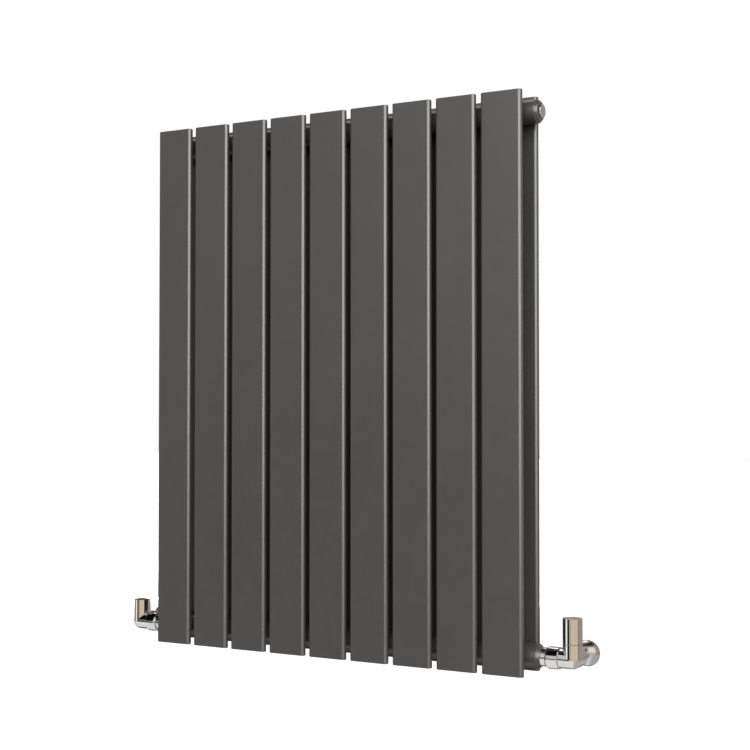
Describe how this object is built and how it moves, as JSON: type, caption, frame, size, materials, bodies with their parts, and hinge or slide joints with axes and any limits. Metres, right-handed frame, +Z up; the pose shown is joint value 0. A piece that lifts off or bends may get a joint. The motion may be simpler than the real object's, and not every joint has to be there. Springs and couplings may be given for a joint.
{
  "type": "wall-hung flat-tube radiator",
  "caption": "Tall anthracite panel radiator of flat vertical tubes in two rows on round headers, hung on a wall, with chrome corner valves.",
  "frame": {"origin": "centre of the four wall fixing holes, on the wall face", "axes": "+X along the wall to the right seen from the room, +Y into the wall, +Z up along the tubes"},
  "size_m": [0.7696, 0.095, 0.8],
  "materials": {
    "paint": "satin anthracite powder coat",
    "chrome": "polished chrome plate",
    "brass": "machined",
    "seal": "matt black",
    "sleeve": "matt black",
    "steel": "zinc plated"
  },
  "bodies": {
    "radiator": {"front_tube_1": "paint", "front_tube_2": "paint", "front_tube_3": "paint", "front_tube_4": "paint", "front_tube_5": "paint", "front_tube_6": "paint", "front_tube_7": "paint", "front_tube_8": "paint", "front_tube_9": "paint", "rear_tube_1": "paint", "rear_tube_2": "paint", "rear_tube_3": "paint", "rear_tube_4": "paint", "rear_tube_5": "paint", "rear_tube_6": "paint", "rear_tube_7": "paint", "rear_tube_8": "paint", "rear_tube_9": "paint", "top_header": "paint", "bottom_header": "paint", "top_necks": "paint", "bottom_necks": "paint", "top_end_left": "paint", "top_end_right": "paint", "bottom_end_left": "paint", "bottom_end_right": "paint", "hanging_lugs": "paint", "blanking_plug": "chrome", "vent_plug": "chrome", "valve_body_right": "chrome", "tailpiece_right": "chrome", "union_nut_right": "chrome", "compression_nut_right": "chrome", "supply_pipe_right": "chrome", "wall_rosette_right": "chrome", "valve_body_left": "chrome", "tailpiece_left": "chrome", "union_nut_left": "chrome", "compression_nut_left": "chrome", "supply_pipe_left": "chrome", "wall_rosette_left": "chrome", "bonnet_right": "brass", "bonnet_left": "brass", "olives": "brass", "plug_seals": "seal", "union_seals": "seal", "bonnet_seals": "seal", "spindle_seals": "seal", "hook_sleeves": "sleeve", "wall_brackets": "steel"},
    "valve_disc_right": {"valve_disc_right": "brass", "disc_washer_right": "seal"},
    "wheel": {"spindle_right": "brass", "wheel_head": "chrome", "head_screw": "steel"},
    "valve_disc_left": {"valve_disc_left": "brass", "disc_washer_left": "seal"},
    "lockshield_spindle": {"spindle_left": "brass"},
    "lockshield_cap": {"lockshield_cap": "chrome"},
    "bleed_screw": {"bleed_screw": "chrome"}
  },
  "joints": [
    {"name": "wheel_disc_lift", "type": "slide", "parent": "radiator", "child": "valve_disc_right", "axis": [0, 0, 1], "range_m": [0, 0.0042]},
    {"name": "wheel_turn", "type": "hinge", "parent": "valve_disc_right", "child": "wheel", "pos_m": [0.3665, -0.0575, -0.3755], "axis": [0, 0, 1], "range_deg": [0, 1080]},
    {"name": "lockshield_disc_lift", "type": "slide", "parent": "radiator", "child": "valve_disc_left", "axis": [0, 0, 1], "range_m": [0, 0.0042]},
    {"name": "lockshield_turn", "type": "hinge", "parent": "valve_disc_left", "child": "lockshield_spindle", "pos_m": [-0.3665, -0.0575, -0.3755], "axis": [0, 0, 1], "range_deg": [0, 1080]},
    {"name": "lockshield_cap_pull", "type": "slide", "parent": "radiator", "child": "lockshield_cap", "axis": [0, 0, 1], "range_m": [0, 0.03]},
    {"name": "bleed_screw_turn", "type": "hinge", "parent": "radiator", "child": "bleed_screw", "pos_m": [0.323, -0.0575, 0.374], "axis": [1, 0, 0], "range_deg": [0, 180]}
  ],
  "couplings": [
    {"joint": "wheel_turn", "follows": "wheel_disc_lift", "rad_per_m": 4488},
    {"joint": "lockshield_turn", "follows": "lockshield_disc_lift", "rad_per_m": 4488}
  ]
}
